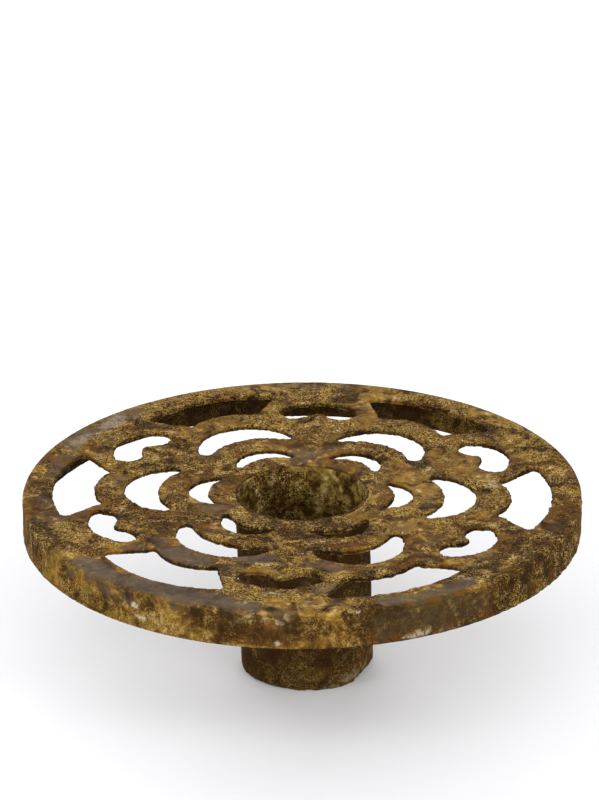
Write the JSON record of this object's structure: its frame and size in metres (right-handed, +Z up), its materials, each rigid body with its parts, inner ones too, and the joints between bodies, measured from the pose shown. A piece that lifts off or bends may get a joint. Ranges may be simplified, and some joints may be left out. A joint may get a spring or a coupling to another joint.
{
  "type": "flower frog",
  "caption": "Round rusted iron flower frog: a thin plate pierced with a rosette of crescents and petal windows, rimmed by a low hoop and carried on an open central tube.",
  "frame": {"origin": "centre of the tube's foot, on the surface the frog stands on", "axes": "+Z up along the tube; one petal of the rosette points along +X"},
  "size_m": [0.18, 0.18, 0.0612],
  "materials": {
    "plate_iron": "heavily rusted and pitted, mottled umber, ochre and grey-brown, with a gritty crust",
    "hoop_iron": "rusted, smoother grey-brown skin with ochre stains and a faint green bloom",
    "tube_iron": "rusted dark brown, ochre speckled, chipped at the foot",
    "weld_metal": "dull dark weld metal under rust"
  },
  "bodies": {
    "root": {"face_plate": "plate_iron", "rim_hoop": "hoop_iron", "stem_tube": "tube_iron", "tube_weld": "weld_metal", "hoop_weld": "weld_metal"}
  },
  "joints": []
}
